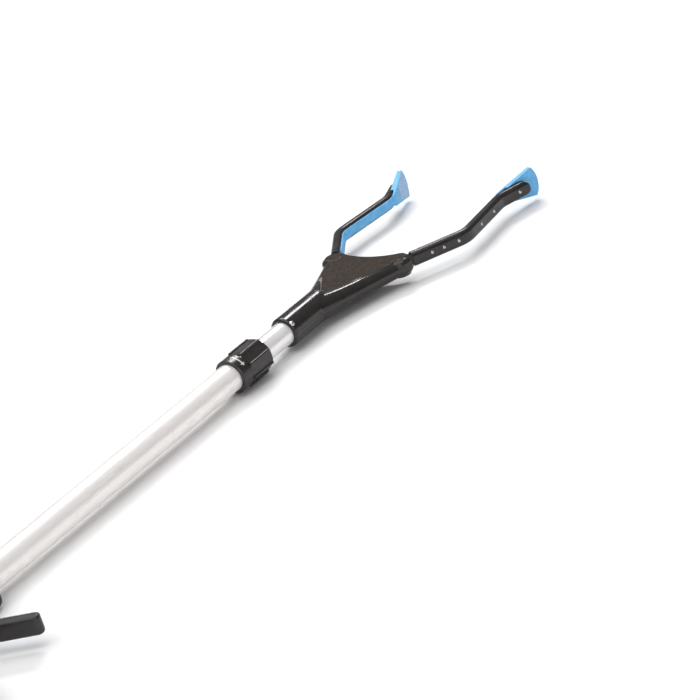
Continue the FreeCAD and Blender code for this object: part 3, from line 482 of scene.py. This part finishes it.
def rubber(name, dark, light, pebble_mm, depth_mm):
    """Soft rubber with a pebbled skin, faint blotches and painted shade in the valleys between
    pebbles, with its tree, shader and colour.
    """
    material, tree, shader = new_material(name)
    pebbles = cells(tree, pebble_mm)
    blotches = noise(tree, size_mm=5.0, detail=4.0)
    fine = noise(tree, size_mm=0.35, detail=2.0)
    colour = blend_colours(tree, spread(tree, blotches, low=0.0, high=1.0), dark, light)
    # Painted shade: the valleys between the pebbles darkened towards the dark colour.
    shaded_valleys = spread(tree, pebbles, low=0.0, high=0.35, start=0.2, end=0.8)
    colour = blend_colours(tree, shaded_valleys, colour, dark)
    tree.links.new(colour, shader.inputs["Base Color"])
    tree.links.new(spread(tree, fine, low=0.48, high=0.66), shader.inputs["Roughness"])
    shader.inputs["Subsurface Weight"].default_value = 0.15
    shader.inputs["Subsurface Radius"].default_value = (0.4, 0.7, 1.0)
    shader.inputs["Subsurface Scale"].default_value = 1.0 * MM
    height = total(tree, pebbles, product(tree, fine, FINE_SKIN_HEIGHT))
    bump(tree, shader, height, depth_mm, strength=0.6)
    return material, tree, shader, colour


PAD_LENGTH_MM = 27.0
DUST = (0.46, 0.58, 0.78)


def liner_rubber():
    """Blue rubber of the jaws, dusty and paler on the gripping faces of the two tip pads."""
    material, tree, shader, colour = rubber(
        "liner_rubber", (0.10, 0.40, 0.74), (0.19, 0.54, 0.88), pebble_mm=1.0, depth_mm=0.08
    )
    place = separate(tree, "Object")
    from_tip = measured_mm(tree, place["X"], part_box("jaw_liner_left")[1].x)
    at_tip = math_node(tree, "GREATER_THAN", from_tip, -PAD_LENGTH_MM)
    dust = spread(tree, cells(tree, size_mm=1.7), low=0.05, high=0.95, start=0.25, end=0.6)
    amount = product(tree, at_tip, facing_axis(tree, place, limit=0.6), dust)
    tree.links.new(blend_colours(tree, amount, colour, DUST), shader.inputs["Base Color"])
    return material


def make_materials():
    """One material for each material slot of the record."""
    return {
        "pole_metal": tube_metal(
            "pole_metal", (0.90, 0.86, 0.84), (0.98, 0.95, 0.93),
            rough_low=0.26, rough_high=0.34, metallic=0.25,
        ),
        "inner_pole_metal": tube_metal(
            "inner_pole_metal", (0.90, 0.89, 0.89), (0.97, 0.96, 0.96),
            rough_low=0.16, rough_high=0.26, metallic=0.35,
        ),
        "lock_plastic": black_plastic(
            "lock_plastic", (0.014, 0.011, 0.011),
            rough_low=0.22, rough_high=0.32, grain_mm=0.35, grain_depth_mm=0.012,
        ),
        "head_plastic": head_plastic(),
        "arm_plastic": black_plastic(
            "arm_plastic", (0.013, 0.010, 0.010),
            rough_low=0.18, rough_high=0.28, grain_mm=0.45, grain_depth_mm=0.012,
        ),
        "handle_plastic": handle_plastic(),
        "grip_rubber": rubber(
            "grip_rubber", (0.045, 0.25, 0.52), (0.08, 0.36, 0.68),
            pebble_mm=0.8, depth_mm=0.05,
        )[0],
        "liner_rubber": liner_rubber(),
        "steel": tube_metal(
            "steel", (0.45, 0.45, 0.46), (0.70, 0.70, 0.71),
            rough_low=0.18, rough_high=0.34, metallic=1.0,
        ),
        "inner_plastic": mottled(
            "inner_plastic", (0.60, 0.58, 0.52), (0.72, 0.70, 0.65),
            rough_low=0.35, rough_high=0.5, size_mm=2.0, depth_mm=0.02,
        ),
    }


def finish_cad_nodes(materials):
    """Gives each CAD node the material of its slot."""
    for part in frame["record"]["subparts"]:
        data = NODES[part["node"]].data
        data.materials.clear()
        data.materials.append(materials[part["material_slot"]])


# --- soft pieces ---------------------------------------------------------------------------------
SMOOTHING = 0.5
PEBBLE_SIZE = 2.2 * MM
PEBBLE_DEPTH = 0.045 * MM
PEBBLE_WAVES = 9
PEBBLE_SEED = 3
PIP_PITCH = 2.8 * MM
PIP_HEIGHT = 0.32 * MM
PIP_ROUNDNESS = 0.7
RIB_ROUNDNESS = 0.6


def soft_copy(node, name, voxel, rounds):
    """Fine, evenly meshed copy of a CAD solid with its edges softened."""
    piece = bpy.data.objects.new(name, NODES[node].data.copy())
    bpy.context.scene.collection.objects.link(piece)
    remesh = piece.modifiers.new("remesh", "REMESH")
    remesh.mode = "VOXEL"
    remesh.voxel_size = voxel
    soften = piece.modifiers.new("soften", "SMOOTH")
    soften.factor = SMOOTHING
    soften.iterations = rounds
    graph = bpy.context.evaluated_depsgraph_get()
    graph.update()
    baked = bpy.data.meshes.new_from_object(piece.evaluated_get(graph))
    piece.modifiers.clear()
    piece.data = baked
    piece.data.name = name
    for polygon in baked.polygons:
        polygon.use_smooth = True
    return piece


def vertex_arrays(mesh):
    """Places and normals of a mesh's vertices, one row each."""
    count = len(mesh.vertices)
    places = np.zeros(count * 3)
    normals = np.zeros(count * 3)
    mesh.vertices.foreach_get("co", places)
    mesh.vertex_normals.foreach_get("vector", normals)
    return places.reshape(-1, 3), normals.reshape(-1, 3)


def push_out(mesh, amount):
    """Moves each vertex along its normal by its own amount."""
    places, normals = vertex_arrays(mesh)
    places += normals * amount[:, None]
    mesh.vertices.foreach_set("co", places.ravel())
    mesh.update()


def ramp_up(values, start, end):
    """0 up to start, rising evenly to 1 at end."""
    return np.clip((values - start) / (end - start), 0, 1)


def pebble_heights(places):
    """Smooth pebbles, as a sum of waves that cross each other."""
    random = np.random.default_rng(PEBBLE_SEED)
    heights = np.zeros(len(places))
    for _ in range(PEBBLE_WAVES):
        direction = random.normal(size=3)
        direction /= np.linalg.norm(direction)
        start = random.uniform(0, 2 * math.pi)
        heights += np.cos(places @ direction * 2 * math.pi / PEBBLE_SIZE + start)
    return PEBBLE_DEPTH * heights / math.sqrt(PEBBLE_WAVES)


def pip_heights(places, normals, side, tip_x):
    """Rows of low round pips on the gripping face of a tip pad."""
    turn = 2 * math.pi / PIP_PITCH / math.sqrt(2)
    along = np.cos(turn * (places[:, 0] + places[:, 2]))
    across = np.cos(turn * (places[:, 0] - places[:, 2]))
    rows = np.clip(along * across, 0, 1) ** PIP_ROUNDNESS
    inward = ramp_up(-side * normals[:, 1], start=0.65, end=0.90)
    near_tip = ramp_up((places[:, 0] - tip_x) / MM, start=-PAD_LENGTH_MM, end=1.0 - PAD_LENGTH_MM)
    return PIP_HEIGHT * rows * inward * near_tip


def rib_heights(along, outward, pitch, height):
    """Rounded ribs across a pad, fading where its skin turns inwards."""
    wave = (1 + np.cos(2 * math.pi * along / pitch)) / 2
    return height * wave ** RIB_ROUNDNESS * ramp_up(outward, start=0.3125, end=0.9375)


def finish_piece(piece, body, node, material):
    """Gives a soft piece its material, hangs it on the body it rides on and hides the CAD node it
    replaces.
    """
    piece.data.materials.clear()
    piece.data.materials.append(material)
    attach(piece, body)
    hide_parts(node)


def make_jaw_liner(side, materials):
    """Pebbled rubber liner and tip pad of one jaw."""
    node = "jaw_liner_" + side
    piece = soft_copy(node, "liner_skin_" + side, voxel=0.45 * MM, rounds=4)
    places, normals = vertex_arrays(piece.data)
    outward = 1 if side == "left" else -1
    pips = pip_heights(places, normals, outward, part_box(node)[1].x)
    push_out(piece.data, pips + pebble_heights(places))
    finish_piece(piece, "jaw_" + side, node, materials["liner_rubber"])


def make_palm_pad(materials):
    """Ribbed rubber inlay on the back of the grip."""
    piece = soft_copy("palm_pad", "palm_pad_skin", voxel=0.6 * MM, rounds=5)
    places, normals = vertex_arrays(piece.data)
    push_out(piece.data, rib_heights(places[:, 1], -normals[:, 0], pitch=5.0 * MM, height=0.9 * MM))
    finish_piece(piece, "handle", "palm_pad", materials["grip_rubber"])


def make_trigger_pad(materials):
    """Ribbed rubber strip on the trigger's finger bow."""
    piece = soft_copy("trigger_pad", "trigger_pad_skin", voxel=0.45 * MM, rounds=3)
    places, normals = vertex_arrays(piece.data)
    push_out(piece.data, rib_heights(places[:, 1], normals[:, 0], pitch=4.0 * MM, height=0.6 * MM))
    finish_piece(piece, "trigger_lever", "trigger_pad", materials["grip_rubber"])


# --- return spring --------------------------------------------------------------------------------
def make_return_spring(materials):
    """Steel copy of the return spring that rides on the telescope, in place of the CAD node."""
    coil = bpy.data.objects.new("return_spring_coil", NODES["return_spring"].data.copy())
    bpy.context.scene.collection.objects.link(coil)
    coil.data.materials.clear()
    coil.data.materials.append(materials["steel"])
    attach(coil, "telescope")
    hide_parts("return_spring")
    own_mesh(coil)


# --- turn marks on the lock ring ------------------------------------------------------------------
MARK_BURIED = 0.1 * MM
MARK_PROUD = 0.06 * MM
MARK_FORWARD_MM = 7.5
ARROW_START, ARROW_END = 8.0, 48.0
ARROW_POINT = 9.0
ARROW_STEPS = 12
BARB_SLOPE = 0.6
LINE_HALF_MM, BARB_HALF_MM, POINT_HALF_MM = 0.7, 2.6, 0.05
BAR_FORWARD_MM, BAR_HALF_MM = 4.8, 0.8
BAR_START, BAR_END = 26.0, 30.0


def mark_section(shape, radius, x_mm, half_mm, degrees):
    """Four corners of a mark's cross section at one angle round the pole."""
    angle = math.radians(degrees)
    corners = []
    for level, side in ((-MARK_BURIED, -1), (-MARK_BURIED, 1), (MARK_PROUD, 1), (MARK_PROUD, -1)):
        x = MOUTH_X + (x_mm + side * half_mm) * MM
        y = AXIS_Y - (radius + level) * math.sin(angle)
        z = AXIS_Z + (radius + level) * math.cos(angle)
        corners.append(shape.verts.new((x, y, z)))
    return corners


def band_mesh(strips, radius):
    """Thin raised strips bent round the pole; each lists (x in mm, half width in mm, degrees)."""
    shape = bmesh.new()
    for strip in strips:
        sections = [mark_section(shape, radius, *place) for place in strip]
        for section, after in zip(sections, sections[1:]):
            for i in range(4):
                j = (i + 1) % 4
                shape.faces.new((section[i], section[j], after[j], after[i]))
        shape.faces.new(sections[0][::-1])
        shape.faces.new(sections[-1])
    bmesh.ops.recalc_face_normals(shape, faces=shape.faces[:])
    mesh = bpy.data.meshes.new("turn_marks")
    shape.to_mesh(mesh)
    shape.free()
    return mesh


def make_turn_marks(materials):
    """Plain double-headed turn arrow with a short index bar, printed on the lock ring."""
    ring_low, ring_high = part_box("lock_base")
    radius = (ring_high.z - ring_low.z) / 2
    middle = (ring_low.x - MOUTH_X) / MM + MARK_FORWARD_MM
    first = ARROW_START + BARB_SLOPE
    last = ARROW_END - BARB_SLOPE
    line = [first + (last - first) * i / ARROW_STEPS for i in range(ARROW_STEPS + 1)]
    arrow = [(middle, POINT_HALF_MM, ARROW_START - ARROW_POINT), (middle, BARB_HALF_MM, ARROW_START)]
    arrow += [(middle, LINE_HALF_MM, degrees) for degrees in line]
    arrow += [(middle, BARB_HALF_MM, ARROW_END), (middle, POINT_HALF_MM, ARROW_END + ARROW_POINT)]
    index_bar = [(middle + BAR_FORWARD_MM, BAR_HALF_MM, degrees) for degrees in (BAR_START, BAR_END)]
    marks = bpy.data.objects.new("turn_marks", band_mesh([arrow, index_bar], radius))
    bpy.context.scene.collection.objects.link(marks)
    marks.data.materials.append(materials["inner_plastic"])
    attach(marks, "handle")


# --- the whole scene --------------------------------------------------------------------------------
make_camera()
make_world()
make_floor()
for light_name, light_facts in LIGHTS.items():
    make_area_light(light_name, *light_facts)
finishes = make_materials()
finish_cad_nodes(finishes)
for jaw_side in ("left", "right"):
    make_jaw_liner(jaw_side, finishes)
make_palm_pad(finishes)
make_trigger_pad(finishes)
make_turn_marks(finishes)
make_return_spring(finishes)
bpy.context.scene.view_settings.view_transform = "Standard"
